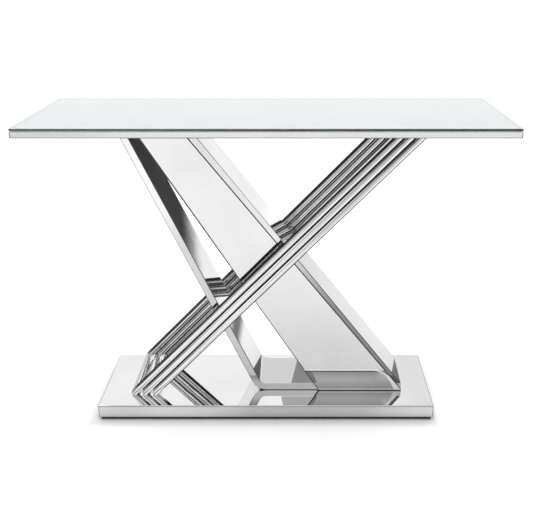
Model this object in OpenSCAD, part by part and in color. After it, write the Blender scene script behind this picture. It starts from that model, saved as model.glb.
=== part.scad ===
// Console table: a long glass-topped table on one central sculptural leg group.
// A flat-bar loop with a tapered front panel crosses three stacked rings of round tube,
// and both stand on a low polished plinth.
// Millimetres, +X along the length, -Y to the front, +Z up.
// The origin is the centre of the table on the floor.

/* [Table] */
// overall length of the glass top
top_w = 1200; // [1000:10:1600]
// overall depth of the glass top
top_d = 430; // [340:10:500]
// height of the glass surface above the floor
top_h = 807; // [740:1:900]
// thickness of the glass
glass_t = 5; // [4:1:12]
// height of the polished rails round the top
rail_h = 16; // [14:1:30]
// width of the polished rails seen from above
rail_w = 20; // [15:1:40]

/* [Plinth] */
// length of the plinth
base_w = 894; // [800:2:1000]
// depth of the plinth
base_d = 292; // [270:2:340]
// sideways place of the plinth's middle, from the middle of the top
base_x = -10; // [-20:1:20]
// height of the plinth shell
base_h = 35; // [24:1:60]
// height of the feet under the plinth
pad_h = 8; // [4:1:12]

/* [Bar loop] */
// thickness of the flat bar
bar_t = 20; // [14:1:30]
// depth of the flat bar, front to back
bar_d = 152; // [100:2:180]
// front face of the flat bar
bar_y0 = -62; // [-75:1:-40]
// lean of the left bar from vertical, in degrees
left_lean = 25.5; // [20:0.5:32]
// lean of the right bar from vertical, in degrees
right_lean = 38; // [34:0.1:42]
// where the left bar's outer face would reach the plinth
left_foot_x = -37.3; // [-60:0.1:0]
// where the bottom bar ends on the right
right_foot_x = 359; // [330:1:390]
// inside radius of the bend at the bottom left
bend_r = 20; // [12:1:40]
// thickness of the front panel
panel_t = 4; // [3:1:8]
// width of the front panel at the plinth
panel_w0 = 227; // [150:1:240]
// width of the front panel at the top
panel_w1 = 121; // [80:1:140]
// where the panel's right edge ends at the top
panel_x1 = -224; // [-260:0.1:-215]

/* [Tube rings] */
// outside diameter of the tube
tube_d = 20; // [14:1:30]
// sideways travel of the tubes for each millimetre of height
tube_run = 0.978; // [0.8:0.002:1.1]
// where the middle tube's centre line would reach the plinth
tube_foot_x = -347.4; // [-370:0.1:-320]
// depth position of the front tubes at the plinth
tube_front_y0 = -81.5; // [-100:0.5:-78]
// depth position of the front tubes at the top
tube_front_y1 = -92.5; // [-120:0.5:-80]
// depth position of the rear tubes at the plinth
tube_rear_y0 = 126; // [112:0.5:134]
// depth position of the rear tubes at the top
tube_rear_y1 = 137; // [112:0.5:160]

/* [Show] */
// which piece to draw

/* [Hidden] */
$fn = 48;
eps = 0.01;
big = 3000;

film_t = 0.8;
bond_t = 1;
core_t = 15;
plate_t = 6;
rail_wall = 1.5;
key_gap = 0.2;
key_leg = 60;

glass_z = top_h - glass_t;
film_z = glass_z - film_t;
bond_z = film_z - bond_t;
rail_z = bond_z - rail_h;
core_z = bond_z - core_t;
plate_z = core_z - plate_t;
base_z = pad_h + base_h;
leg_h = plate_z - base_z;

shell_t = 2;
skirt_t = 2;
bottom_t = 2;
core_gap = 0.5;
pad_d = 36;
pad_x = base_w / 2 - 60;
pad_y = base_d / 2 - 40;
strip_in = 6;
strip_t = 3;
strip_gap = 1.2;

bar_wall = 2;
left_tan = tan(left_lean);
right_tan = tan(right_lean);
left_h = bar_t / cos(left_lean);
right_h = bar_t / cos(right_lean);
bend_z = bar_t + bend_r;
bend_x = left_foot_x + left_h - left_tan * bend_z + bend_r / cos(left_lean);
bend_out = bend_r + bar_t;
bar_y1 = bar_y0 + bar_d;

tube_r = tube_d / 2;
tube_wall = 1.5;
tube_flat = 2;
ring_z0 = tube_r - tube_flat;
ring_z1 = leg_h - tube_r + tube_flat;
ring_step = tube_d * sqrt(1 + tube_run * tube_run);
front_slope = (tube_front_y1 - tube_front_y0) / (ring_z1 - ring_z0);
rear_slope = (tube_rear_y1 - tube_rear_y0) / (ring_z1 - ring_z0);

insert_y = [-25, 70];
insert_len = 26;
insert_gap = 0.2;
nut_bar_x = [70, 150, 230, 310];
nut_bar_y = 14;
nut_bar_h = 15.6;
bolt_d = 6;
bolt_clear = 6.6;
bolt_tap = 6.2;
bolt_head_d = 10;
bolt_head_h = 5;
bolt_pocket_d = 14;
bolt_in = 8;
ring_x0 = tube_foot_x + tube_run * ring_z0;

screw_d = 5;
screw_clear = 6;
screw_pilot = 5.2;
screw_head_d = 10;
screw_head_h = 3;
screw_in = 11;
bar_plate = [-430, -166, bar_y0, bar_y1];
bar_plate_x = [-414, -300, -182];
bar_plate_y = [-38, 66];
ring_plate = [299, 431, -116, 160];
ring_plate_x = [310, 420];
ring_plate_y = [-68, 22, 112];
pad_screw_d = 4;
pad_screw_pilot = 4.2;
pad_screw_head = 8;
pad_screw_in = 18;

steel = [0.78, 0.79, 0.80];
steel_soft = [0.70, 0.71, 0.73];
green_glass = [0.62, 0.80, 0.74, 0.45];
white = [0.95, 0.96, 0.97];
dark = [0.12, 0.12, 0.13];
board = [0.66, 0.53, 0.38];
zinc = [0.62, 0.64, 0.66];
clear = [0.85, 0.88, 0.90];

// ---------- helpers ----------

// a profile drawn in X and Z, given depth from y0 to y1
module slab(y0, y1) {
    translate([0, y1, 0]) rotate([90, 0, 0]) linear_extrude(y1 - y0) children();
}

// a box from corner to corner
module box(x0, x1, y0, y1, z0, z1) {
    translate([x0, y0, z0]) cube([x1 - x0, y1 - y0, z1 - z0]);
}

// the half of space behind a plane through p, on the side n points away from
module behind(p, n) {
    len_n = norm(n);
    turn = acos(n[2] / len_n);
    translate(p) rotate(a = turn, v = [-n[1], n[0], 0])
        translate([-big / 2, -big / 2, -big]) cube([big, big, big]);
}

// a round rod from p to q, run past both ends
module rod(p, q, r, past) {
    d = q - p;
    l = norm(d);
    translate(p) rotate(a = acos(d[2] / l), v = [-d[1], d[0], 0])
        translate([0, 0, -past]) cylinder(r = r, h = l + 2 * past);
}

// ---------- top ----------

module glass_top() {
    color(green_glass) translate([0, 0, glass_z + glass_t / 2])
        cube([top_w, top_d, glass_t], center = true);
}

module white_film() {
    color(white) translate([0, 0, film_z + film_t / 2])
        cube([top_w - 2, top_d - 2, film_t], center = true);
}

// bonding strips between the film and the rails
module bond_strips() {
    strip = 12;
    inset = 4;
    x = top_w / 2 - inset;
    y = top_d / 2 - inset;
    color(clear) {
        for (s = [-1, 1]) {
            translate([0, s * (y - strip / 2), bond_z + bond_t / 2])
                cube([2 * x, strip, bond_t], center = true);
            translate([s * (x - strip / 2), 0, bond_z + bond_t / 2])
                cube([strip, 2 * (y - strip) - 2, bond_t], center = true);
        }
    }
}

// the board that fills the frame; its underside is dark
module top_core() {
    color(dark) difference() {
        translate([0, 0, core_z + core_t / 2])
            cube([top_w - 2 * rail_w, top_d - 2 * rail_w, core_t], center = true);
        for (x = bar_plate_x, y = bar_plate_y)
            translate([x, y, core_z - eps]) cylinder(d = screw_pilot, h = screw_in + 1);
        for (x = ring_plate_x, y = ring_plate_y)
            translate([x, y, core_z - eps]) cylinder(d = screw_pilot, h = screw_in + 1);
    }
}

// one hollow rail lying along X with mitred ends, its outer face at y = -depth/2
module rail(length, depth) {
    inner = depth / 2 - rail_w;
    bore = rail_w - 2 * rail_wall;
    difference() {
        translate([0, 0, rail_z]) linear_extrude(rail_h)
            polygon([[-length / 2, -depth / 2], [length / 2, -depth / 2],
                [length / 2 - rail_w, -inner], [-length / 2 + rail_w, -inner]]);
        box(-length, length, -depth / 2 + rail_wall, -depth / 2 + rail_wall + bore,
            rail_z + rail_wall, rail_z + rail_h - rail_wall);
    }
}

module rail_front() { color(steel) rail(top_w, top_d); }
module rail_rear() { color(steel) rotate([0, 0, 180]) rail(top_w, top_d); }
module rail_left() { color(steel) rotate([0, 0, -90]) rail(top_d, top_w); }
module rail_right() { color(steel) rotate([0, 0, 90]) rail(top_d, top_w); }

// four L-shaped keys inside the rail corners
module corner_keys() {
    edge = rail_wall + key_gap;
    wide = rail_w - 2 * edge;
    z0 = rail_z + edge;
    z1 = rail_z + rail_h - edge;
    color(zinc) for (mx = [0, 1], my = [0, 1]) mirror([mx, 0, 0]) mirror([0, my, 0])
        translate([-top_w / 2, -top_d / 2, 0]) difference() {
            box(edge, key_leg, edge, key_leg, z0, z1);
            box(edge + wide, key_leg + 1, edge + wide, key_leg + 1, z0 - 1, z1 + 1);
        }
}

// ---------- plates and screws under the top ----------

module mount_plate(p, xs, ys) {
    difference() {
        box(p[0], p[1], p[2], p[3], plate_z, core_z);
        for (x = xs, y = ys)
            translate([x, y, plate_z - 1]) cylinder(d = screw_clear, h = plate_t + 2);
    }
}

module bar_mount_plate() { color(steel_soft) mount_plate(bar_plate, bar_plate_x, bar_plate_y); }
module ring_mount_plate() { color(steel_soft) mount_plate(ring_plate, ring_plate_x, ring_plate_y); }

module pan_screw() {
    translate([0, 0, -screw_head_h]) cylinder(d = screw_head_d, h = screw_head_h);
    cylinder(d = screw_d, h = plate_t + screw_in);
}

module mount_screws() {
    color(zinc) {
        for (x = bar_plate_x, y = bar_plate_y) translate([x, y, plate_z]) pan_screw();
        for (x = ring_plate_x, y = ring_plate_y) translate([x, y, plate_z]) pan_screw();
    }
}

// ---------- flat-bar loop ----------

// x of the left bar's outer face at height z above the plinth
function left_x(z) = left_foot_x - left_tan * z;
// x of the right bar's outer face at height z above the plinth
function right_x(z) = right_foot_x - right_tan * (z - bar_t);

// a hollow bar from a four-point outline, open at the two ends given by the cavity outline
module hollow_bar(outline, cavity) {
    translate([0, 0, base_z]) difference() {
        slab(bar_y0, bar_y1) polygon(outline);
        slab(bar_y0 + bar_wall, bar_y1 - bar_wall) polygon(cavity);
    }
}

module left_bar() {
    c = [bend_x, bend_z];
    n = [-cos(left_lean), -sin(left_lean)];
    up = [-sin(left_lean), cos(left_lean)];
    long = 1000;
    color(steel) difference() {
        translate([0, 0, base_z]) difference() {
            slab(bar_y0, bar_y1) polygon([c + n * bend_out, c + n * bend_r,
                c + n * bend_r + up * long, c + n * bend_out + up * long]);
            slab(bar_y0 + bar_wall, bar_y1 - bar_wall)
                polygon([c + n * (bend_out - bar_wall) - up, c + n * (bend_r + bar_wall) - up,
                    c + n * (bend_r + bar_wall) + up * long, c + n * (bend_out - bar_wall) + up * long]);
        }
        box(-big, big, -big, big, plate_z, big);
    }
}

module bar_bend() {
    far = 200;
    a = left_lean;
    color(steel) translate([0, 0, base_z]) intersection() {
        translate([bend_x, bar_y1, bend_z]) rotate([90, 0, 0]) difference() {
            cylinder(r = bend_out, h = bar_d);
            translate([0, 0, -1]) cylinder(r = bend_r, h = bar_d + 2);
            translate([0, 0, bar_wall]) difference() {
                cylinder(r = bend_out - bar_wall, h = bar_d - 2 * bar_wall);
                translate([0, 0, -1]) cylinder(r = bend_r + bar_wall, h = bar_d);
            }
        }
        slab(bar_y0 - 1, bar_y1 + 1) polygon([[bend_x, bend_z],
            [bend_x - far * cos(a), bend_z - far * sin(a)],
            [bend_x - far, bend_z - far], [bend_x, bend_z - far]]);
    }
}

module bottom_bar() {
    w = bar_wall;
    color(steel) difference() {
        hollow_bar([[bend_x, 0], [right_foot_x, 0], [right_foot_x, bar_t], [bend_x, bar_t]],
            [[bend_x - 1, w], [right_foot_x - w, w], [right_foot_x - w, bar_t - w],
                [bend_x - 1, bar_t - w]]);
        for (x = nut_bar_x) translate([x, nut_bar_y, base_z - 1])
            cylinder(d = bolt_clear, h = bar_wall + 2);
    }
}

module right_bar() {
    w = bar_wall / cos(right_lean);
    over = leg_h + 5;
    color(steel) hollow_bar(
        [[right_x(bar_t) - right_h, bar_t], [right_x(bar_t), bar_t],
            [right_x(leg_h), leg_h], [right_x(leg_h) - right_h, leg_h]],
        [[right_x(bar_t - 1) - right_h + w, bar_t - 1], [right_x(bar_t - 1) - w, bar_t - 1],
            [right_x(over) - w, over], [right_x(over) - right_h + w, over]]);
}

// the tapered plate across the front of the right and bottom bars
module front_panel() {
    color(steel) translate([0, 0, base_z]) slab(bar_y0 - panel_t, bar_y0)
        polygon([[right_foot_x - panel_w0, 0], [right_foot_x, 0], [right_foot_x, 5],
            [panel_x1, leg_h], [panel_x1 - panel_w1, leg_h]]);
}

// tapped bar inside the bottom bar that takes the plinth bolts
module nut_bar() {
    side = 15;
    ends = 20;
    n = len(nut_bar_x) - 1;
    color(zinc) difference() {
        box(nut_bar_x[0] - ends, nut_bar_x[n] + ends, nut_bar_y - side, nut_bar_y + side,
            base_z + bar_wall, base_z + bar_wall + nut_bar_h);
        for (x = nut_bar_x) translate([x, nut_bar_y, base_z])
            cylinder(d = bolt_tap, h = bar_t);
    }
}

// ---------- tube rings ----------

// corner points of ring k, where k is -1 for the inner, 0 for the middle, 1 for the outer ring
function ring_x(k, z) = tube_foot_x + tube_run * z - k * ring_step;
function front_foot(k) = [ring_x(k, ring_z0), tube_front_y0, base_z + ring_z0];
function front_head(k) = [ring_x(k, ring_z1), tube_front_y1, base_z + ring_z1];
function rear_foot(k) = [ring_x(k, ring_z0), tube_rear_y0, base_z + ring_z0];
function rear_head(k) = [ring_x(k, ring_z1), tube_rear_y1, base_z + ring_z1];
function unit(v) = v / norm(v);

// hollow tube from p to q, mitred against the neighbours that go on to a and b,
// and cut flat where it meets the plinth and the plate
module ring_tube(p, q, a, b) {
    past = tube_d * 1.5;
    intersection() {
        difference() {
            rod(p, q, tube_r, past);
            rod(p, q, tube_r - tube_wall, past + 1);
        }
        behind(p, unit(a - p) - unit(q - p));
        behind(q, unit(b - q) - unit(p - q));
        box(-big, big, -big, big, base_z, plate_z);
    }
}

module front_tube(k) {
    color(steel) ring_tube(front_foot(k), front_head(k), rear_foot(k), rear_head(k));
}

module rear_tube(k) {
    color(steel) ring_tube(rear_foot(k), rear_head(k), front_foot(k), front_head(k));
}

module foot_tube(k) {
    color(steel) difference() {
        ring_tube(front_foot(k), rear_foot(k), front_head(k), rear_head(k));
        for (y = insert_y) translate([ring_x(k, ring_z0), y, base_z - 1])
            cylinder(d = bolt_clear, h = tube_r);
    }
}

module head_tube(k) {
    color(steel) ring_tube(front_head(k), rear_head(k), front_foot(k), rear_foot(k));
}

module outer_front_tube() { front_tube(1); }
module outer_rear_tube() { rear_tube(1); }
module outer_foot_tube() { foot_tube(1); }
module outer_head_tube() { head_tube(1); }
module middle_front_tube() { front_tube(0); }
module middle_rear_tube() { rear_tube(0); }
module middle_foot_tube() { foot_tube(0); }
module middle_head_tube() { head_tube(0); }
module inner_front_tube() { front_tube(-1); }
module inner_rear_tube() { rear_tube(-1); }
module inner_foot_tube() { foot_tube(-1); }
module inner_head_tube() { head_tube(-1); }

// tapped plugs inside the foot tubes that take the plinth bolts
module ring_inserts() {
    r = tube_r - tube_wall - insert_gap;
    color(zinc) for (k = [-1, 0, 1], y = insert_y)
        translate([ring_x(k, ring_z0), y, base_z + ring_z0]) difference() {
            intersection() {
                rotate([90, 0, 0]) cylinder(r = r, h = insert_len, center = true);
                box(-r - 1, r + 1, -insert_len, insert_len, -ring_z0 + tube_wall / 2, r + 1);
            }
            cylinder(d = bolt_tap, h = 2 * tube_d, center = true);
        }
}

// ---------- plinth ----------

// places the children under every bolt: [x, y]
module at_bolts() {
    for (x = nut_bar_x) translate([x, nut_bar_y, 0]) children();
    for (k = [-1, 0, 1], y = insert_y) translate([ring_x(k, ring_z0), y, 0]) children();
}

module at_feet() {
    for (x = [-pad_x, 0, pad_x], y = [-pad_y, pad_y]) translate([base_x + x, y, 0]) children();
}

// a box as long and deep as the plinth less a gap all round
module plinth_box(gap, z0, z1) {
    box(base_x - base_w / 2 + gap, base_x + base_w / 2 - gap,
        -base_d / 2 + gap, base_d / 2 - gap, z0, z1);
}

// polished tray, open underneath
module plinth_shell() {
    color(steel) difference() {
        plinth_box(0, pad_h, base_z);
        plinth_box(skirt_t, pad_h - 1, base_z - shell_t);
        at_bolts() translate([0, 0, base_z - shell_t - 1]) cylinder(d = bolt_clear, h = shell_t + 2);
    }
}

// board inside the tray
module plinth_core() {
    gap = skirt_t + core_gap;
    z0 = pad_h + bottom_t;
    color(board) difference() {
        plinth_box(gap, z0, base_z - shell_t);
        at_bolts() {
            translate([0, 0, z0 - 1]) cylinder(d = bolt_clear, h = base_h);
            translate([0, 0, z0 - 1]) cylinder(d = bolt_pocket_d, h = bolt_head_h + 1);
        }
        at_feet() translate([0, 0, z0 - 1]) cylinder(d = pad_screw_pilot, h = pad_screw_in + 1);
    }
}

// closing sheet with access holes for the bolts
module plinth_bottom() {
    gap = skirt_t + core_gap;
    color(dark) difference() {
        plinth_box(gap, pad_h, pad_h + bottom_t);
        at_bolts() translate([0, 0, pad_h - 1]) cylinder(d = bolt_pocket_d, h = bottom_t + 2);
        at_feet() translate([0, 0, pad_h - 1]) cylinder(d = pad_screw_pilot, h = bottom_t + 2);
    }
}

// bolts that hold the legs down, with a socket in each head
module plinth_bolts() {
    z0 = pad_h + bottom_t;
    color(zinc) at_bolts() difference() {
        union() {
            translate([0, 0, z0]) cylinder(d = bolt_head_d, h = bolt_head_h);
            translate([0, 0, z0 + bolt_head_h - eps])
                cylinder(d = bolt_d, h = base_z + bolt_in - z0 - bolt_head_h + eps);
        }
        translate([0, 0, z0 - 1]) cylinder(d = 5.8, h = 4, $fn = 6);
    }
}

// dark strips set back under the plinth, which hide the feet; they end just above the floor
module shadow_strips() {
    x = base_w / 2 - strip_in;
    y = base_d / 2 - strip_in;
    color(dark) translate([base_x, 0, 0]) {
        for (s = [-1, 1]) {
            translate([-x, s * (y - strip_t / 2) - strip_t / 2, strip_gap])
                cube([2 * x, strip_t, pad_h - strip_gap]);
            translate([s * (x - strip_t / 2) - strip_t / 2, -y + strip_t + 1, strip_gap])
                cube([strip_t, 2 * (y - strip_t) - 2, pad_h - strip_gap]);
        }
    }
}

// ---------- feet ----------

module feet() {
    color(dark) at_feet() difference() {
        cylinder(d = pad_d, h = pad_h);
        translate([0, 0, -1]) cylinder(d = pad_screw_head + 1, h = 3.5);
        translate([0, 0, -1]) cylinder(d = pad_screw_pilot, h = pad_h + 2);
    }
}

module foot_screws() {
    color(zinc) at_feet() {
        translate([0, 0, 0.5]) cylinder(d = pad_screw_head, h = 2);
        translate([0, 0, 2.5 - eps]) cylinder(d = pad_screw_d, h = pad_screw_in + eps);
    }
}

glass_top();
white_film();
bond_strips();
top_core();
rail_front();
rail_rear();
rail_left();
rail_right();
corner_keys();
bar_mount_plate();
ring_mount_plate();
mount_screws();
left_bar();
bar_bend();
bottom_bar();
right_bar();
front_panel();
nut_bar();
outer_front_tube();
outer_rear_tube();
outer_foot_tube();
outer_head_tube();
middle_front_tube();
middle_rear_tube();
middle_foot_tube();
middle_head_tube();
inner_front_tube();
inner_rear_tube();
inner_foot_tube();
inner_head_tube();
ring_inserts();
plinth_shell();
plinth_core();
plinth_bottom();
plinth_bolts();
shadow_strips();
feet();
foot_screws();
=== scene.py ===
import math

import bmesh
import bpy
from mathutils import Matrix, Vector


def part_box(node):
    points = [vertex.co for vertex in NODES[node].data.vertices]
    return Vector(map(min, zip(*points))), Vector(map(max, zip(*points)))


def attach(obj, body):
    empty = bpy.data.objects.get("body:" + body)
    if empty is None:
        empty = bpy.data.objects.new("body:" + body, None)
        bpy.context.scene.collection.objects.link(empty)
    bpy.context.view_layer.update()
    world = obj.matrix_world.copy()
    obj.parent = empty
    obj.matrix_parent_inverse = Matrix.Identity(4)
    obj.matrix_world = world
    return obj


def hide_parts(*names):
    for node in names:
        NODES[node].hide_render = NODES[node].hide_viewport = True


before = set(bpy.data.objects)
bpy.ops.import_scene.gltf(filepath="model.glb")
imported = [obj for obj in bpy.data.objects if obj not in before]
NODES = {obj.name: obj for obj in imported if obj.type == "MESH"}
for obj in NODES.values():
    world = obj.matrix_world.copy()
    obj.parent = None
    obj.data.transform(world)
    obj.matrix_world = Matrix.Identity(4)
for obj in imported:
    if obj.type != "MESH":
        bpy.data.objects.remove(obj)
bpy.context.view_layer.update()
ROOT = "root"                       # the one body; nothing on the table moves

# Everything is in metres, in the frame of the CAD model. These sizes come from its nodes.
GLASS_LO, GLASS_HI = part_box("glass_top")
FILM_LO, FILM_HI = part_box("white_film")
RAIL_LO, RAIL_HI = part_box("rail_front")
BASE_LO, BASE_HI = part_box("plinth_shell")
PANEL_LO, PANEL_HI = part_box("front_panel")
BAR_LO, BAR_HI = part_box("right_bar")
BOTTOM_LO, BOTTOM_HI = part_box("bottom_bar")
DECK = BASE_HI.z                    # top of the plinth, where the legs stand
HEAD = PANEL_HI.z                   # top of the legs

# the bars and the panel
LEFT_LEAN = math.radians(25.5)
RIGHT_LEAN = math.radians(38.0)
BAR_T = BOTTOM_HI.z - BOTTOM_LO.z
BAR_FRONT, BAR_REAR = BAR_LO.y, BAR_HI.y
FOOT_X = BOTTOM_HI.x                # right end of the bottom bar
BEND_R, BEND_OUT = 0.020, 0.040     # inner and outer radius of the bend
BEND_X, BEND_Z = BOTTOM_LO.x, DECK + BEND_OUT
PANEL_FOOT_X = FOOT_X - 0.227       # left end of the panel's foot
PANEL_RUN = (PANEL_LO.x - PANEL_FOOT_X) / (PANEL_HI.z - PANEL_LO.z)

# the tubes
TUBE_R = 0.010
TUBE_RUN = 0.978                    # how far a tube goes to the right for each metre up
TUBE_FOOT_X = -0.3474               # the middle tube's centre line at the deck

WHITE = (1.0, 1.0, 1.0)


def grey(v):
    return (v, v, v)


# ---------- node helpers ----------

class Net:
    """Short names for building chains of nodes in one tree."""

    def __init__(self, tree):
        self.tree = tree

    def node(self, kind, **props):
        n = self.tree.nodes.new("ShaderNode" + kind)
        for k, v in props.items():
            setattr(n, k, v)
        return n

    def link(self, a, b):
        self.tree.links.new(a, b)

    def place(self):
        return self.node("TexCoord").outputs["Object"]

    def xyz(self, v=None):
        """The x, y and z of a vector, or of the place on the object."""
        n = self.node("SeparateXYZ")
        self.link(v or self.place(), n.inputs[0])
        return n.outputs

    def normal(self):
        """The x, y and z of the surface normal."""
        return self.xyz(self.node("NewGeometry").outputs["Normal"])

    def math(self, op, a, b=None, clamp=False):
        n = self.node("Math", operation=op, use_clamp=clamp)
        for i, x in enumerate((a, b)):
            if x is None:
                continue
            if isinstance(x, (int, float)):
                n.inputs[i].default_value = x
            else:
                self.link(x, n.inputs[i])
        return n.outputs[0]

    def add(self, a, b):
        return self.math("ADD", a, b)

    def sub(self, a, b):
        return self.math("SUBTRACT", a, b)

    def mul(self, a, b):
        return self.math("MULTIPLY", a, b)

    def most(self, a, b):
        return self.math("MAXIMUM", a, b)

    def size(self, a):
        return self.math("ABSOLUTE", a)

    def ease(self, v, a, b, lo, hi):
        """v from a to b, mapped smoothly to lo..hi"""
        n = self.node("MapRange", interpolation_type="SMOOTHSTEP")
        self.link(v, n.inputs["Value"])
        n.inputs["From Min"].default_value = a
        n.inputs["From Max"].default_value = b
        n.inputs["To Min"].default_value = lo
        n.inputs["To Max"].default_value = hi
        return n.outputs["Result"]

    def rise(self, v, a, b, to=1.0):
        return self.ease(v, a, b, 0.0, to)

    def fall(self, v, a, b, start=1.0):
        return self.ease(v, a, b, start, 0.0)

    def stretch(self, scale):
        n = self.node("Mapping")
        self.link(self.place(), n.inputs["Vector"])
        n.inputs["Scale"].default_value = scale
        return n.outputs[0]

    def noise(self, scale, detail, rough=0.5, v=None):
        n = self.node("TexNoise")
        self.link(v or self.place(), n.inputs["Vector"])
        n.inputs["Scale"].default_value = scale
        n.inputs["Detail"].default_value = detail
        n.inputs["Roughness"].default_value = rough
        return n.outputs["Fac"]

    def ramp(self, fac, stops):
        n = self.node("ValToRGB")
        e = n.color_ramp.elements
        while len(e) < len(stops):
            e.new(0.5)
        for el, (p, c) in zip(e, stops):
            el.position = p
            el.color = (*c, 1.0)
        self.link(fac, n.inputs[0])
        return n.outputs[0]

    def mix(self, fac, a, b, blend="MIX"):
        n = self.node("Mix", data_type="RGBA", blend_type=blend)
        for sock, x in ((n.inputs[0], fac), (n.inputs[6], a), (n.inputs[7], b)):
            if isinstance(x, (int, float)):
                sock.default_value = x
            elif isinstance(x, tuple):
                sock.default_value = (*x, 1.0)
            else:
                self.link(x, sock)
        return n.outputs[2]

    def times(self, a, b):
        return self.mix(1.0, a, b, "MULTIPLY")

    def gloom(self, colour, k, low, high=1.0):
        """colour times a grey that goes from high to low as k goes from 0 to 1"""
        return self.times(colour, self.mix(k, grey(high), grey(low)))

    def grey(self, v):
        n = self.node("CombineColor")
        for channel in range(3):
            self.link(v, n.inputs[channel])
        return n.outputs[0]

    def vector(self, x, y, z):
        n = self.node("CombineXYZ")
        for i, v in enumerate((x, y, z)):
            if v is not None:
                self.link(v, n.inputs[i])
        return n.outputs[0]

    def tipped(self, amount):
        """The surface normal, tipped towards the floor on faces that look to the front or back."""
        normal = self.node("NewGeometry").outputs["Normal"]
        ny = self.size(self.xyz(normal)[1])
        v = self.node("VectorMath", operation="ADD")
        self.link(normal, v.inputs[0])
        self.link(self.vector(None, None, self.rise(ny, 0.8, 0.95, -amount)), v.inputs[1])
        w = self.node("VectorMath", operation="NORMALIZE")
        self.link(v.outputs[0], w.inputs[0])
        return w.outputs[0]

    def bump(self, height, strength, distance, normal=None):
        n = self.node("Bump")
        n.inputs["Strength"].default_value = strength
        n.inputs["Distance"].default_value = distance
        self.link(height, n.inputs["Height"])
        if normal is not None:
            self.link(normal, n.inputs["Normal"])
        return n.outputs[0]


def new_material(name):
    """A material, its nodes and its shader."""
    m = bpy.data.materials.new(name)
    m.use_nodes = True
    m.node_tree.nodes.clear()
    n = Net(m.node_tree)
    out = n.node("OutputMaterial")
    sh = n.node("BsdfPrincipled")
    n.link(sh.outputs[0], out.inputs["Surface"])
    return m, n, sh


def put(sh, **values):
    for k, v in values.items():
        sh.inputs[k.replace("_", " ")].default_value = v


# ---------- mesh helpers ----------

def adopt(obj, mat, slot, *nodes):
    """Give a piece its materials and body, and let it stand for CAD nodes; slot is not used."""
    slots = obj.data.materials
    for i, m in enumerate(mat if isinstance(mat, (list, tuple)) else [mat]):
        if i < len(slots):
            slots[i] = m
        else:
            slots.append(m)
    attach(obj, ROOT)
    if nodes:
        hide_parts(*nodes)


def loft(name, outlines, smooth=35.0):
    """Closed solid through matching outlines; edges sharper than smooth degrees stay sharp."""
    bm = bmesh.new()
    rings = [[bm.verts.new(p) for p in outline] for outline in outlines]
    for a, b in zip(rings, rings[1:]):
        for i in range(len(a)):
            j = (i + 1) % len(a)
            bm.faces.new((a[i], a[j], b[j], b[i]))
    bm.faces.new(list(reversed(rings[0])))
    bm.faces.new(rings[-1])
    bmesh.ops.recalc_face_normals(bm, faces=bm.faces)
    me = bpy.data.meshes.new(name)
    bm.to_mesh(me)
    bm.free()
    o = bpy.data.objects.new(name, me)
    bpy.context.scene.collection.objects.link(o)
    for p in me.polygons:
        p.use_smooth = True
    me.set_sharp_from_angle(angle=math.radians(smooth))
    return o


def prism(name, outline, y0, y1):
    """Outline in x and z, extruded from y0 to y1."""
    return loft(name, [[(x, y, z) for x, z in outline] for y in (y0, y1)])


def plate(name, outline, z0, z1):
    """Outline in x and y, extruded from z0 to z1."""
    return loft(name, [[(x, y, z) for x, y in outline] for z in (z0, z1)])


def rect(x0, x1, y0, y1):
    return [(x0, y0), (x1, y0), (x1, y1), (x0, y1)]


def soften(obj, width, segments=3, angle=30.0, slot=-1):
    """Rounded arrises, applied to the mesh; slot is the material slot they take."""
    while len(obj.data.materials) <= slot:
        obj.data.materials.append(None)
    mod = obj.modifiers.new("arris", "BEVEL")
    mod.material = slot
    mod.width = width
    mod.segments = segments
    mod.limit_method = "ANGLE"
    mod.angle_limit = math.radians(angle)
    mod.harden_normals = True
    dg = bpy.context.evaluated_depsgraph_get()
    me = bpy.data.meshes.new_from_object(obj.evaluated_get(dg))
    obj.modifiers.clear()
    obj.data = me


# ---------- camera ----------

CAMERA_AT = (0.0675, -2.0951, 1.1918)
CAMERA_DOWN = 16.052                # degrees below level

cam_data = bpy.data.cameras.new("camera")
cam = bpy.data.objects.new("camera", cam_data)
bpy.context.scene.collection.objects.link(cam)
cam_data.sensor_width = 36.0
cam_data.lens = 55.58
cam_data.shift_x = -0.0535
cam_data.shift_y = -0.120
cam_data.clip_end = 100.0
cam.location = CAMERA_AT
cam.rotation_euler = (math.radians(90.0 - CAMERA_DOWN), 0.0, 0.0)
bpy.context.scene.camera = cam


# ---------- polished steel ----------

def steel(name, tone, rough, grain, bump=0.02, shade=None, painted_mask=None, tilt=0.0,
          painted_colour=(0.055, 0.055, 0.054)):
    """Soft smudges, hairline polishing marks along the grain, faint waviness of the sheet.

    shade paints in light and shade. The mask says where painted shade and highlights replace the
    metal.
    """
    m, n, sh = new_material(name)
    smudge = n.noise(scale=7.0, detail=4.0, rough=0.55)
    hair = n.noise(scale=900.0, detail=2.0, rough=0.6, v=n.stretch(grain))
    smudged = tuple(c * 0.93 for c in tone)
    scratched = tuple(c * 0.82 for c in tone)
    colour = n.ramp(smudge, [(0.30, smudged), (0.62, tone)])
    colour = n.mix(n.rise(hair, 0.35, 0.75, 0.10), colour, scratched)
    if shade is not None:
        colour = shade(n, colour)
    put(sh, Metallic=1.0, Specular_IOR_Level=0.0)
    if painted_mask is not None:
        k = painted_mask(n)
        colour = n.mix(k, colour, painted_colour)
        n.link(n.math("SUBTRACT", 1.0, k, clamp=True), sh.inputs["Metallic"])
    n.link(colour, sh.inputs["Base Color"])
    r = n.add(n.ease(smudge, 0.3, 0.7, *rough), n.rise(hair, 0.4, 0.8, 0.03))
    n.link(r, sh.inputs["Roughness"])
    wave = n.noise(scale=5.5, detail=1.0, rough=0.4)
    normal = n.bump(wave, bump, distance=0.004, normal=n.tipped(tilt) if tilt else None)
    n.link(n.bump(hair, 0.012, distance=0.0004, normal=normal), sh.inputs["Normal"])
    return m


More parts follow.
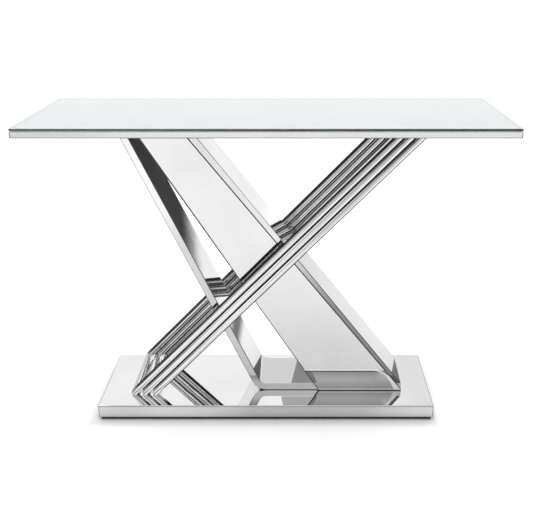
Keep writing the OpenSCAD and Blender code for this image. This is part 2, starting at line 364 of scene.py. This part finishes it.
# The photo's studio isn't known, so some of what the legs mirror is painted here, by the place on
# the object. Pairs of numbers are the start and end of a soft edge.

LOOKS_FRONT = (0.6, 0.9)            # how much of a normal points to the front or back
PATCH_EDGE = (-0.0012, 0.0012)
DECK_EDGE = (-0.0005, 0.0005)


def square_to(run):
    """Turns a sideways distance from a line with that run into the distance square to it."""
    return 1.0 / math.sqrt(1 + run * run)


def right_of(n, at, slope):
    """How far a place is to the right of the line x = at + slope * y."""
    x, y, z = n.xyz()
    return n.sub(x, n.add(at, n.mul(y, slope)))


def bar_tone(front_low, front_high, front_z, top_low, top_z, foot=1.0):
    """Faces are darker near the plinth, whose shadowed surroundings they mirror.

    The front face has its own grey at the very foot, foot times front_low.
    """
    foot_z = (DECK + 0.02, DECK + 0.05)

    def shade(n, colour):
        z = n.xyz()[2]
        nx, ny, nz = n.normal()
        front = n.mix(n.fall(z, *front_z), grey(front_high), grey(front_low))
        front = n.mix(n.fall(z, *foot_z), front, grey(foot * front_low))
        front = n.mix(n.rise(n.size(ny), *LOOKS_FRONT), WHITE, front)
        up = n.mul(n.rise(nz, 0.25, 0.40), n.fall(z, *top_z))
        return n.gloom(n.times(colour, front), up, top_low)
    return shade


WEDGE_H = 0.034                     # height of the wedges at the feet of the bars
LEFT_WEDGE_Z = DECK + 0.0314
RIGHT_WEDGE_Z = DECK + 0.020


def foot_wedge(n, z0):
    """Wedge at the foot of a leaning face, highest at the front: the plinth's edge, mirrored."""
    x, y, z = n.xyz()
    back = n.mul(n.sub(y, BAR_FRONT), 1.0 / (BAR_REAR - BAR_FRONT))
    top = n.add(n.mul(n.sub(1.0, back), WEDGE_H), z0)
    return n.mul(n.fall(n.sub(z, top), *PATCH_EDGE), n.rise(z, z0 - 0.0015, z0 + 0.0005))


def left_painted_reflections(n):
    """Painted reflections: the left bar's inner face mirrors the top's dark underside, and tubes
    lower down.

    The bottom bar mirrors the foot of the panel, and the bend has painted shade where it meets the
    deck.
    """
    x, y, z = n.xyz()
    nx, ny, nz = n.normal()
    edge = n.add(n.add(z, n.mul(n.noise(scale=16.0, detail=2.0), 0.04)), n.mul(y, -0.35))
    above = n.rise(edge, 0.405, 0.53, to=0.96)
    tubes = n.mul(n.rise(z, 0.170, 0.205), n.fall(z, 0.215, 0.245, start=0.78))
    inner = n.most(n.most(above, tubes), n.mul(foot_wedge(n, LEFT_WEDGE_Z), 0.85))
    inner = n.mul(n.rise(nx, 0.55, 0.8), inner)
    bottom_bar = n.mul(n.rise(nz, 0.9, 0.98), n.fall(z, 0.10, 0.12))
    bottom_bar = n.mul(bottom_bar, n.rise(right_of(n, 0.0647, 0.124), -0.0015, 0.0015, to=0.55))
    heel = n.mul(n.fall(nz, -0.9, -0.6), n.fall(z, DECK + 0.002, DECK + 0.007, start=0.95))
    return n.most(n.most(inner, bottom_bar), heel)


def right_painted_reflection(n):
    """Painted reflection: the wedge at the foot of the right bar's upper face."""
    up = n.rise(n.normal()[2], 0.3, 0.5)
    return n.mul(up, n.mul(foot_wedge(n, RIGHT_WEDGE_Z), 0.75))


def left_arris_painted_dark(n):
    """Painted dark reflections on the left bar's arrises; light along the top of the bottom bar."""
    z = n.xyz()[2]
    return n.most(n.ease(z, DECK + 0.003, DECK + 0.006, 0.9, 0.15),
                  n.ease(z, DECK + 0.022, DECK + 0.030, 0.15, 0.9))


def right_arris_painted_dark(n):
    """Painted dark reflections on the right bar's arrises low down; bright metal higher up."""
    return n.fall(n.xyz()[2], 0.40, 0.50, start=0.9)


END_R = 0.016                       # rounding of the plinth's end as the panel mirrors it
END_TOP = DECK + 0.0605


def mirrored_end(n):
    """Outline of the plinth's end as the panel's foot mirrors it; over END_R is outside."""
    x, y, z = n.xyz()
    lean = n.mul(n.sub(z, DECK), math.tan(RIGHT_LEAN))
    inside = n.mul(n.sub(n.sub(FOOT_X, lean), x), math.cos(RIGHT_LEAN))
    inside = n.sub(inside, n.ease(z, DECK, DECK + 0.03, 0.014, 0.008))
    up = n.most(n.sub(z, END_TOP - END_R), 0.0)
    out = n.most(n.sub(END_R, inside), 0.0)
    return n.math("SQRT", n.add(n.mul(up, up), n.mul(out, out)))


def panel_painted_reflection(n, colour):
    """Painted reflection: the panel's foot darkens towards the plinth; its left edge is a painted
    dark line.
    """
    x, y, z = n.xyz()
    foot = n.mul(n.ease(z, DECK, DECK + 0.050, 0.80, 1.48),
                 n.ease(z, DECK + 0.0560, DECK + 0.0575, 1.0, 0.42))
    outside = n.rise(mirrored_end(n), END_R - 0.0008, END_R + 0.0008)
    v = n.add(n.mul(foot, n.sub(1.0, outside)), outside)
    left = n.sub(n.sub(x, PANEL_FOOT_X), n.mul(n.sub(z, DECK), PANEL_RUN))
    left = n.mul(left, square_to(PANEL_RUN))
    line_w = n.ease(z, 0.30, 0.55, 0.0026, 0.0040)
    v = n.mul(v, n.ease(n.sub(left, line_w), -0.0004, 0.0006, 0.08, 1.0))
    return n.times(colour, n.grey(v))


def panel_painted_highlights(n):
    """Painted highlights: a light edge round the mirrored end, and a light line along the panel's
    bottom.
    """
    z = n.xyz()[2]
    end = mirrored_end(n)
    rim = n.fall(end, END_R + 0.0045, END_R + 0.0060, start=0.95)
    lower = n.fall(z, DECK + 0.042, DECK + 0.054, start=0.95)
    edge = n.mul(n.rise(end, END_R, END_R + 0.0012), n.most(rim, lower))
    above = n.rise(z, DECK + 0.0022, DECK + 0.0032)
    line = n.mul(above, n.fall(z, DECK + 0.0062, DECK + 0.0072, start=0.5))
    return n.mul(n.most(edge, line), above)


REAR_Y = (0.0, 0.03)                # in y, from the front tubes to the rear ones
TUBE_FOOT_Z = (DECK + 0.010, DECK + 0.03)


def across_tubes(n):
    """Distance across the set of tubes, from the middle tube's centre line."""
    x, y, z = n.xyz()
    s = n.sub(n.add(x, -TUBE_FOOT_X), n.mul(n.sub(z, DECK), TUBE_RUN))
    return n.mul(s, square_to(TUBE_RUN))


def tube_painted_seam_shade(n):
    """Painted shade: dark lines where neighbouring tubes touch and where the set ends."""
    x, y, z = n.xyz()
    s = n.size(across_tubes(n))
    seam = n.size(n.sub(s, TUBE_R))
    front_seam = n.fall(seam, 0.0010, 0.0029, start=0.98)
    rear_seam = n.fall(seam, 0.0006, 0.0018, start=0.90)
    k = n.mix(n.rise(y, *REAR_Y), front_seam, rear_seam)
    k = n.most(k, n.rise(s, 0.0240, 0.0275, to=0.95))
    return n.mul(k, n.rise(z, *TUBE_FOOT_Z))


def greys(*stops):
    return [(p, grey(g)) for p, g in stops]


# painted reflections across one tube, 0 to 1: the front tubes low down and high up, and the rear
# tubes
FRONT_LINES = greys((0.0, 0.50), (0.10, 0.90), (0.30, 1.0), (0.43, 0.95), (0.50, 0.62),
                    (0.57, 0.95), (0.80, 0.86), (0.90, 0.50), (1.0, 0.35))
HIGH_LINES = greys((0.0, 0.20), (0.10, 0.80), (0.20, 0.60), (0.32, 1.0), (0.43, 0.90),
                   (0.52, 0.30), (0.61, 0.90), (0.76, 1.0), (0.87, 0.65), (1.0, 0.15))
REAR_LINES = greys((0.0, 0.10), (0.04, 0.25), (0.12, 1.0), (0.22, 0.14), (0.28, 0.16),
                   (0.38, 1.0), (0.50, 0.80), (0.58, 0.12), (0.63, 0.14), (0.73, 1.0),
                   (0.86, 0.95), (0.94, 0.25), (1.0, 0.08))
HIGH_Z = (0.38, 0.54)


def tube_painted_reflections(n, colour):
    """Painted reflections in fine lengthwise lines: each tube mirrors its neighbours and the legs
    in thin streaks.
    """
    x, y, z = n.xyz()
    s = across_tubes(n)
    rear = n.rise(y, *REAR_Y)
    drawn_out = n.vector(n.mul(s, 150.0), n.mul(z, 2.2), n.mul(rear, 7.0))
    f = n.noise(scale=1.0, detail=3.0, rough=0.6, v=drawn_out)
    drift = n.mul(n.sub(f, 0.5), 0.002)
    u = n.math("FRACT", n.mul(n.add(n.add(s, drift), 3 * TUBE_R), 1.0 / (2 * TUBE_R)))
    front = n.mix(n.rise(z, *HIGH_Z), n.ramp(u, FRONT_LINES), n.ramp(u, HIGH_LINES))
    lines = n.mix(rear, front, n.ramp(u, REAR_LINES))
    run = n.mul(n.rise(z, *TUBE_FOOT_Z), n.fall(z, HEAD - 0.02, HEAD - 0.01))
    colour = n.mix(run, n.mix(rear, colour, grey(0.98)), lines, "MULTIPLY")
    return n.gloom(colour, n.rise(f, 0.48, 0.60), 0.85)


def base_painted_reflections(n, colour):
    """Painted reflections: the deck darkens to the right and mirrors dark parts of the legs in
    front of them.

    The sides of the plinth take painted reflections too, darker in the middle and under their upper
    arris.
    """
    x, y, z = n.xyz()
    seam = right_of(n, 0.158, 0.30)         # where the panel's mirror image meets the bottom bar's
    bend = right_of(n, 0.018, -0.12)        # where the bend's mirror image starts
    deck = n.mix(n.rise(x, 0.22, 0.42), WHITE, (0.84, 0.84, 0.845))
    wedge = n.mul(n.rise(bend, -0.002, 0.002), n.fall(seam, *DECK_EDGE))
    deck = n.gloom(deck, n.mul(wedge, n.fall(y, -0.0975, -0.0965)), 0.41)
    panel = n.mul(n.rise(seam, *DECK_EDGE), n.fall(x, 0.295, 0.315))
    deck = n.gloom(deck, n.mul(panel, n.fall(y, -0.146, -0.095)), 0.58)
    middle = n.mul(n.rise(x, -0.22, 0.0), n.fall(x, 0.22, 0.40))
    side = n.mix(middle, grey(0.80), grey(0.57))
    side = n.gloom(side, n.rise(z, DECK - 0.0052, DECK - 0.0026), 0.58)
    side = n.gloom(side, n.fall(x, -0.40, -0.25), 0.89)
    side = n.gloom(side, n.rise(x, 0.30, 0.40), 0.93)
    return n.times(colour, n.mix(n.rise(n.normal()[2], 0.3, 0.8), side, deck))


def base_arris_painted_shade(n, colour):
    """The upper arris at the front and back catches the light; painted shade makes the others dark
    outlines.
    """
    nx, ny, nz = n.normal()
    lit = n.mul(n.rise(nz, 0.15, 0.4), n.rise(n.size(ny), 0.15, 0.4))
    return n.gloom(colour, lit, 1.0, high=0.16)


def rail_ends(n, colour):
    """Dark upright line at each end of the front and rear rails."""
    end = n.rise(n.size(n.xyz()[0]), RAIL_HI.x - 0.0030, RAIL_HI.x - 0.0022)
    return n.gloom(colour, n.mul(end, n.rise(n.size(n.normal()[1]), 0.3, 0.6)), 0.22)


def rail_arris_painted_shade(n, colour):
    """Painted shade: a dark line along the lower arris of the rails."""
    return n.gloom(rail_ends(n, colour), n.fall(n.normal()[2], -0.25, -0.02), 0.12)


def rail_painted_shade(n, colour):
    """Painted shade: rails a touch darker at the left end and along their lower edge."""
    x, y, z = n.xyz()
    upright = n.fall(n.size(n.normal()[2]), 0.3, 0.6)
    low = n.mul(upright, n.fall(z, RAIL_LO.z + 0.0020, RAIL_LO.z + 0.0032))
    return n.gloom(n.gloom(rail_ends(n, colour), low, 0.55), n.fall(x, -0.60, -0.25), 0.86)


PALE = (0.80, 0.80, 0.81)
ALONG = (0.05, 1, 1)
POLISHED, WORN = (0.05, 0.09), (0.12, 0.2)

M_BAR = steel("bar_steel", PALE, POLISHED, ALONG, painted_mask=left_painted_reflections,
              shade=bar_tone(0.65, 0.97, (0.44, 0.62), 0.76, (0.44, 0.62), foot=1.80))
M_RIGHT = steel("right_bar_steel", PALE, POLISHED, ALONG, painted_mask=right_painted_reflection,
                shade=bar_tone(0.27, 0.79, (0.28, 0.50), 0.56, (0.40, 0.52)))
M_BAR_ARRIS = steel("bar_arris_steel", PALE, WORN, ALONG, painted_mask=left_arris_painted_dark)
M_RIGHT_ARRIS = steel("right_arris_steel", (0.72, 0.72, 0.73), WORN, ALONG, painted_mask=right_arris_painted_dark)
M_PANEL = steel("panel_steel", (0.665, 0.665, 0.67), (0.03, 0.06), ALONG, shade=panel_painted_reflection,
                painted_mask=panel_painted_highlights, tilt=0.085, painted_colour=grey(0.97))
M_RAIL = steel("rail_steel", grey(0.64), (0.10, 0.16), (0.02, 1, 1), shade=rail_painted_shade)
M_RAIL_ARRIS = steel("rail_arris_steel", grey(0.62), WORN, (0.02, 1, 1), shade=rail_arris_painted_shade)
M_TUBE = steel("tube_steel", grey(0.86), POLISHED, (1, 1, 0.05), shade=tube_painted_reflections,
               painted_mask=tube_painted_seam_shade, painted_colour=grey(0.014))
M_BASE = steel("base_steel", (0.84, 0.843, 0.847), (0.015, 0.035), (0.03, 1, 1), bump=0.01,
               shade=base_painted_reflections)
M_BASE_ARRIS = steel("base_arris_steel", (0.80, 0.80, 0.805), (0.04, 0.08), (0.03, 1, 1),
                     shade=base_arris_painted_shade)


# ---------- glass, film and the rest ----------

def glass_material():
    """Clear glass, faintly green, with a trace of fingermarks and ripple."""
    m, n, sh = new_material("top_glass")
    tint = n.ramp(n.noise(scale=3.0, detail=3.0),
                  [(0.3, (0.93, 0.975, 0.965)), (0.7, (0.955, 0.985, 0.98))])
    n.link(tint, sh.inputs["Base Color"])
    n.link(n.rise(n.noise(scale=40.0, detail=4.0), 0.3, 0.8, 0.035), sh.inputs["Roughness"])
    n.link(n.bump(n.noise(scale=9.0, detail=2.0), 0.02, distance=0.001), sh.inputs["Normal"])
    put(sh, IOR=1.5, Transmission_Weight=1.0)
    return m


def glass_edge_material():
    """The deep green of the glass seen end on, with painted light and shade: it changes along the
    table and up the edge.
    """
    m, n, sh = new_material("glass_edge")
    x, y, z = n.xyz()
    along = n.rise(x, GLASS_LO.x, GLASS_HI.x)
    ripple = n.noise(scale=14.0, detail=4.0, rough=0.6, v=n.stretch((1, 1, 6)))
    high = n.ramp(along, [(0.0, (0.065, 0.137, 0.13)), (0.5, (0.15, 0.19, 0.175)),
                          (1.0, (0.004, 0.055, 0.025))])
    low = n.ramp(along, [(0.0, (0.08, 0.15, 0.14)), (0.5, (0.004, 0.010, 0.008)),
                         (1.0, (0.01, 0.045, 0.035))])
    c = n.mix(n.rise(z, GLASS_LO.z + 0.0015, GLASS_LO.z + 0.0035), low, high)
    c = n.mix(n.rise(ripple, 0.3, 0.75, 0.25), c, (0.02, 0.05, 0.04))
    n.link(c, sh.inputs["Base Color"])
    n.link(n.ease(ripple, 0.3, 0.8, 0.10, 0.28), sh.inputs["Roughness"])
    n.link(n.bump(ripple, 0.15, distance=0.0005), sh.inputs["Normal"])
    put(sh, IOR=1.5, Specular_IOR_Level=0.1)
    return m


def film_material():
    """Pale film under the glass, greyer to the front, with darker borders of painted shade at the
    sides and rear.
    """
    m, n, sh = new_material("pale_film")
    x, y, z = n.xyz()
    mottle = n.noise(scale=5.0, detail=4.0)
    c = n.ramp(mottle, [(0.3, (0.905, 0.905, 0.945)), (0.7, (0.935, 0.93, 0.97))])
    c = n.gloom(c, n.fall(y, -0.20, 0.18), 0.93)
    c = n.gloom(c, n.rise(n.size(x), GLASS_HI.x - 0.0070, GLASS_HI.x - 0.0055), 0.48)
    c = n.gloom(c, n.rise(y, GLASS_HI.y - 0.016, GLASS_HI.y - 0.012), 0.68)
    n.link(c, sh.inputs["Base Color"])
    n.link(n.ease(mottle, 0.3, 0.7, 0.35, 0.5), sh.inputs["Roughness"])
    fine = n.noise(scale=300.0, detail=2.0)
    n.link(n.bump(fine, 0.05, distance=0.0003), sh.inputs["Normal"])
    return m


def plain(name, low, high, scale, rough, bump, depth, stretch=(1, 1, 1), metallic=0.0):
    """Fine mottled grain between two colours, with broad darker areas."""
    m, n, sh = new_material(name)
    grain = n.noise(scale=scale, detail=5.0, rough=0.6, v=n.stretch(stretch))
    broad = n.noise(scale=scale * 0.06, detail=2.0)
    c = n.ramp(grain, [(0.25, low), (0.75, high)])
    c = n.mix(n.rise(broad, 0.35, 0.7, 0.35), c, tuple(x * 0.75 for x in low))
    n.link(c, sh.inputs["Base Color"])
    n.link(n.ease(grain, 0.3, 0.75, *rough), sh.inputs["Roughness"])
    n.link(n.bump(grain, bump, depth), sh.inputs["Normal"])
    put(sh, Metallic=metallic)
    return m


M_ARRIS = plain("arris_shade", (0.040, 0.040, 0.041), (0.060, 0.060, 0.061), 500.0,
                rough=(0.45, 0.6), bump=0.05, depth=0.0001, stretch=ALONG)
M_GLASS = glass_material()
M_EDGE = glass_edge_material()
M_FILM = film_material()
M_UNDER = plain("dark_laminate", (0.030, 0.030, 0.033), (0.055, 0.055, 0.058), 260.0,
                rough=(0.38, 0.55), bump=0.12, depth=0.0004)
M_SILICONE = plain("silicone", (0.42, 0.45, 0.46), (0.60, 0.63, 0.64), 120.0,
                   rough=(0.4, 0.6), bump=0.10, depth=0.0004)
M_BRUSHED = plain("brushed_plate", (0.40, 0.40, 0.41), (0.62, 0.62, 0.63), 600.0,
                  rough=(0.28, 0.42), bump=0.12, depth=0.0002, stretch=(0.04, 1, 1), metallic=1.0)
M_ZINC = plain("zinc_plate", (0.42, 0.44, 0.46), (0.66, 0.68, 0.70), 180.0,
               rough=(0.25, 0.42), bump=0.10, depth=0.0003, metallic=1.0)
M_BOARD = plain("fibreboard", (0.30, 0.21, 0.13), (0.50, 0.38, 0.25), 400.0,
                rough=(0.75, 0.9), bump=0.25, depth=0.0006)
M_SHEET = plain("dark_sheet", (0.035, 0.035, 0.038), (0.075, 0.075, 0.08), 350.0,
                rough=(0.45, 0.6), bump=0.12, depth=0.0003)
# rubber for the feet; on the shadow strips the same near black is painted shade under the plinth's
# edge
M_RUBBER_AND_SHADE = plain("rubber", grey(0.012), grey(0.035), 240.0,
                 rough=(0.6, 0.8), bump=0.25, depth=0.0005)

# ---------- top ----------

GLASS_ARRIS = 0.0011
FILM_IN, FILM_REAR_IN = 0.002, 0.008    # how far the film's edge is inside the CAD film's
FILM_GAP = 0.00015                      # between the film and the glass
FILM_ARRIS, RAIL_ARRIS = 0.0002, 0.0016
RAIL_W = 0.020
MITRE_GAP = 0.00008


def glass_top():
    """Pane with flat arrises; its sides are green, and the front upper arris is clear."""
    x, y = GLASS_HI.x, GLASS_HI.y
    z0, z1 = GLASS_LO.z, GLASS_HI.z
    outlines = [[(sx * (x - inset), sy * (y - inset), z)
                 for sx, sy in ((-1, -1), (1, -1), (1, 1), (-1, 1))]
                for inset, z in ((GLASS_ARRIS, z0), (0.0, z0 + GLASS_ARRIS),
                                 (0.0, z1 - GLASS_ARRIS), (GLASS_ARRIS, z1))]
    o = loft("glass_pane", outlines, smooth=10.0)
    for p in o.data.polygons:
        flat = abs(p.normal.z) > 0.9
        front_arris = p.normal.z > 0.5 and p.normal.y < -0.5
        p.material_index = 0 if flat or front_arris else 1
    adopt(o, [M_GLASS, M_EDGE], "glass", "glass_top")


def rail(name, node, turn, length, depth):
    """A mitred rail with rounded arrises; its outer face is at -depth/2 before it is turned."""
    end, out = length / 2 - MITRE_GAP, depth / 2
    pts = [(-end, -out), (end, -out), (end - RAIL_W, RAIL_W - out), (RAIL_W - end, RAIL_W - out)]
    c, s = math.cos(turn), math.sin(turn)
    o = plate(name, [(x * c - y * s, x * s + y * c) for x, y in pts], RAIL_LO.z, RAIL_HI.z)
    soften(o, RAIL_ARRIS, slot=1)
    adopt(o, [M_RAIL, M_RAIL_ARRIS], "polished_steel", node)


glass_top()

film_outline = rect(FILM_LO.x + FILM_IN, FILM_HI.x - FILM_IN,
                    FILM_LO.y + FILM_IN, FILM_HI.y - FILM_REAR_IN)
film = plate("film_sheet", film_outline, FILM_LO.z, FILM_HI.z - FILM_GAP)
soften(film, FILM_ARRIS, segments=2)
adopt(film, M_FILM, "white_film", "white_film")

LENGTH, DEPTH = 2 * RAIL_HI.x, 2 * -RAIL_LO.y
rail("front_rail", "rail_front", 0.0, LENGTH, DEPTH)
rail("rear_rail", "rail_rear", math.pi, LENGTH, DEPTH)
rail("left_rail", "rail_left", -math.pi / 2, DEPTH, LENGTH)
rail("right_rail", "rail_right", math.pi / 2, DEPTH, LENGTH)

# ---------- bars and panel ----------

BAR_ARRIS = 0.0018


def arc(cx, cz, r, a0, a1, steps=16):
    turns = [a0 + (a1 - a0) * i / steps for i in range(steps + 1)]
    return [(cx + r * math.cos(a), cz + r * math.sin(a)) for a in turns]


def loop_outline():
    """The left bar, the bend and the bottom bar as one bent strip."""
    a_left, a_down = math.pi + LEFT_LEAN, 1.5 * math.pi
    up = Vector((-math.sin(LEFT_LEAN), math.cos(LEFT_LEAN)))
    side = Vector((-math.cos(LEFT_LEAN), -math.sin(LEFT_LEAN)))

    def at_head(r):
        """Head of the straight run that leaves the bend at radius r."""
        p = Vector((BEND_X, BEND_Z)) + side * r
        return tuple(p + up * ((HEAD - p.y) / up.y))

    outer = [at_head(BEND_OUT)] + arc(BEND_X, BEND_Z, BEND_OUT, a_left, a_down)
    inner = arc(BEND_X, BEND_Z, BEND_R, a_down, a_left) + [at_head(BEND_R)]
    return outer + [(FOOT_X, DECK), (FOOT_X, DECK + BAR_T)] + inner


def right_outline():
    """The right bar, standing on the bottom bar."""
    width = BAR_T / math.cos(RIGHT_LEAN)
    z0 = DECK + BAR_T
    x0, x1 = FOOT_X, FOOT_X - math.tan(RIGHT_LEAN) * (HEAD - z0)
    return [(x0 - width, z0), (x0, z0), (x1, HEAD), (x1 - width, HEAD)]


def panel_outline():
    """Corners of the CAD panel's front face, in order round its middle."""
    front = [v.co for v in NODES["front_panel"].data.vertices if abs(v.co.y - PANEL_LO.y) < 1e-5]
    corners = sorted({(round(v.x, 6), round(v.z, 6)) for v in front})
    mx, mz = (sum(p[i] for p in corners) / len(corners) for i in (0, 1))
    return sorted(corners, key=lambda p: math.atan2(p[1] - mz, p[0] - mx))


left_leg = prism("bar_loop", loop_outline(), BAR_FRONT, BAR_REAR)
soften(left_leg, BAR_ARRIS, angle=40.0, slot=1)
adopt(left_leg, [M_BAR, M_BAR_ARRIS], "polished_steel", "left_bar", "bar_bend", "bottom_bar")

right_leg = prism("right_leg", right_outline(), BAR_FRONT, BAR_REAR)
soften(right_leg, BAR_ARRIS, angle=25.0, slot=1)
adopt(right_leg, [M_RIGHT, M_RIGHT_ARRIS], "polished_steel", "right_bar")

panel = prism("tapered_panel", panel_outline(), PANEL_LO.y, PANEL_HI.y)
soften(panel, BAR_ARRIS, angle=25.0, slot=1)
adopt(panel, [M_PANEL, M_ARRIS], "polished_steel", "front_panel")

# ---------- tube rings ----------

TUBE_SIDES = 72


def ring_corners(ring):
    """Centre points of a ring in the CAD: front foot, front head, rear head, rear foot."""
    flo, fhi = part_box(ring + "_foot_tube")
    hlo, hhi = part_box(ring + "_head_tube")
    fx, hx = (flo.x + fhi.x) / 2, (hlo.x + hhi.x) / 2
    fz, hz = fhi.z - TUBE_R, hlo.z + TUBE_R
    return (Vector((fx, flo.y + TUBE_R, fz)), Vector((hx, hlo.y + TUBE_R, hz)),
            Vector((hx, hhi.y - TUBE_R, hz)), Vector((fx, fhi.y - TUBE_R, fz)))


def tube(name, p, q, a, b, node):
    """Round tube from p to q, mitred towards a and b, and cut flat at the plinth and the plate."""
    d = (q - p).normalized()
    length = (q - p).length
    u = d.orthogonal().normalized()
    w = d.cross(u).normalized()
    n1 = (a - p).normalized() - d
    n2 = (b - q).normalized() + d
    level = abs(d.z) < 0.05
    start, finish = [], []
    for i in range(TUBE_SIDES):
        t = 2 * math.pi * i / TUBE_SIDES
        c = (u * math.cos(t) + w * math.sin(t)) * TUBE_R
        if level:
            c.z = min(max(c.z, DECK - p.z), HEAD - p.z)
        lo = -c.dot(n1) / d.dot(n1)
        hi = length - c.dot(n2) / d.dot(n2)
        if not level:
            lo = max(lo, (DECK - p.z - c.z) / d.z)
            hi = min(hi, (HEAD - p.z - c.z) / d.z)
        start.append(p + c + d * lo)
        finish.append(p + c + d * hi)
    middle = [s.lerp(f, 0.5) for s, f in zip(start, finish)]
    adopt(loft(name, [start, middle, finish], smooth=30.0), M_TUBE, "tube_steel", node)


for ring in ("inner", "middle", "outer"):
    front_foot, front_head, rear_head, rear_foot = ring_corners(ring)
    tube(ring + "_front_run", front_foot, front_head, rear_foot, rear_head, ring + "_front_tube")
    tube(ring + "_rear_run", rear_foot, rear_head, front_foot, front_head, ring + "_rear_tube")
    tube(ring + "_foot_run", front_foot, rear_foot, front_head, rear_head, ring + "_foot_tube")
    tube(ring + "_head_run", front_head, rear_head, front_foot, rear_foot, ring + "_head_tube")

# ---------- plinth ----------

TRAY_WALL, TRAY_DEPTH, TRAY_ARRIS = 0.002, 0.0324, 0.0022

tray = plate("base_shell", rect(BASE_LO.x, BASE_HI.x, BASE_LO.y, BASE_HI.y), BASE_LO.z, BASE_HI.z)
bm = bmesh.new()
bm.from_mesh(tray.data)
bottom = next(f for f in bm.faces if f.normal.z < -0.9)
bmesh.ops.inset_region(bm, faces=[bottom], thickness=TRAY_WALL)
bmesh.ops.translate(bm, verts=bottom.verts, vec=(0, 0, TRAY_DEPTH))
bm.to_mesh(tray.data)
bm.free()
soften(tray, TRAY_ARRIS, angle=60.0, slot=1)
adopt(tray, [M_BASE, M_BASE_ARRIS], "mirror_steel", "plinth_shell")

# ---------- materials of the CAD nodes that stay ----------

KEEP = {
    "top_core": M_UNDER, "bond_strips": M_SILICONE, "corner_keys": M_ZINC,
    "bar_mount_plate": M_BRUSHED, "ring_mount_plate": M_BRUSHED, "mount_screws": M_ZINC,
    "nut_bar": M_ZINC, "ring_inserts": M_ZINC, "plinth_core": M_BOARD,
    # the shadow strips' near black stands in for the shade under the plinth's edge
    "plinth_bottom": M_SHEET, "plinth_bolts": M_ZINC, "shadow_strips": M_RUBBER_AND_SHADE,
    "feet": M_RUBBER_AND_SHADE, "foot_screws": M_ZINC,
}
for name, mat in KEEP.items():
    materials = NODES[name].data.materials
    materials.clear()
    materials.append(mat)

# ---------- studio ----------


def floor_material():
    """Near white, lifted a little by a painted glow of its own away from the plinth, leaving a
    painted shadow round it.
    """
    m, n, sh = new_material("studio_floor")
    tone = n.ramp(n.noise(scale=1.3, detail=2.0), greys((0.3, 0.90), (0.7, 0.92)))
    n.link(tone, sh.inputs["Base Color"])
    put(sh, Roughness=0.9, Specular_IOR_Level=0.0, Emission_Color=(1, 1, 1, 1))
    x, y, z = n.xyz()
    mid_x = (BASE_LO.x + BASE_HI.x) / 2
    half_x, half_y = (BASE_HI.x - BASE_LO.x) / 2, (BASE_HI.y - BASE_LO.y) / 2
    dx = n.sub(n.size(n.sub(x, mid_x)), half_x)
    dy = n.sub(n.size(y), half_y)
    right = n.mul(n.sub(x, BASE_HI.x), 3.0)     # the shade is narrower on the right
    away = n.most(n.most(dx, dy), right)
    n.link(n.rise(away, 0.004, 0.045, to=0.24), sh.inputs["Emission Strength"])
    return m


FLOOR_R = 14.0

floor_mesh = bpy.data.meshes.new("floor")
floor_mesh.from_pydata([(x, y, 0) for x, y in rect(-FLOOR_R, FLOOR_R, -FLOOR_R, FLOOR_R)],
                       [], [(0, 1, 2, 3)])
floor_mesh.materials.append(floor_material())
floor = bpy.data.objects.new("floor", floor_mesh)
bpy.context.scene.collection.objects.link(floor)


def studio_world():
    """A plain white backdrop; the metal mirrors a bright ceiling, dim front and grey low sides."""
    world = bpy.data.worlds.new("studio")
    world.use_nodes = True
    world.node_tree.nodes.clear()
    n = Net(world.node_tree)
    x, y, z = n.xyz(n.node("TexCoord").outputs["Generated"])
    tone = n.mix(n.rise(y, -0.55, 0.15), (0.50, 0.50, 0.505), grey(0.95))
    tone = n.mix(n.rise(z, 0.62, 0.95), tone, grey(1.35))
    sides = n.mul(n.rise(n.size(x), 0.60, 0.92), n.fall(z, 0.3, 0.7))
    tone = n.mix(sides, tone, (0.30, 0.305, 0.31))
    room = n.node("Background")
    n.link(tone, room.inputs["Color"])
    room.inputs["Strength"].default_value = 1.1
    backdrop = n.node("Background")
    backdrop.inputs["Color"].default_value = (1, 1, 1, 1)
    backdrop.inputs["Strength"].default_value = 1.2
    seen = n.node("MixShader")
    n.link(n.node("LightPath").outputs["Is Camera Ray"], seen.inputs[0])
    n.link(room.outputs[0], seen.inputs[1])
    n.link(backdrop.outputs[0], seen.inputs[2])
    n.link(seen.outputs[0], n.node("OutputWorld").inputs["Surface"])
    return world


def area(name, place, aim, size, power):
    d = bpy.data.lights.new(name, "AREA")
    d.shape = "RECTANGLE"
    d.size, d.size_y = size
    d.energy = power
    o = bpy.data.objects.new(name, d)
    o.location = place
    o.rotation_euler = (Vector(aim) - Vector(place)).to_track_quat("-Z", "Y").to_euler()
    bpy.context.scene.collection.objects.link(o)


bpy.context.scene.world = studio_world()
area("overhead", place=(0.0, 0.2, 3.4), aim=(0.0, 0.0, 0.4), size=(3.2, 2.4), power=26.0)
area("left_box", place=(-2.6, -1.6, 2.0), aim=(0.0, 0.0, 0.5), size=(1.2, 2.0), power=10.0)

sc = bpy.context.scene
sc.view_settings.view_transform = "Standard"
sc.view_settings.look = "None"
sc.view_settings.exposure = 0.0
sc.view_settings.gamma = 1.0
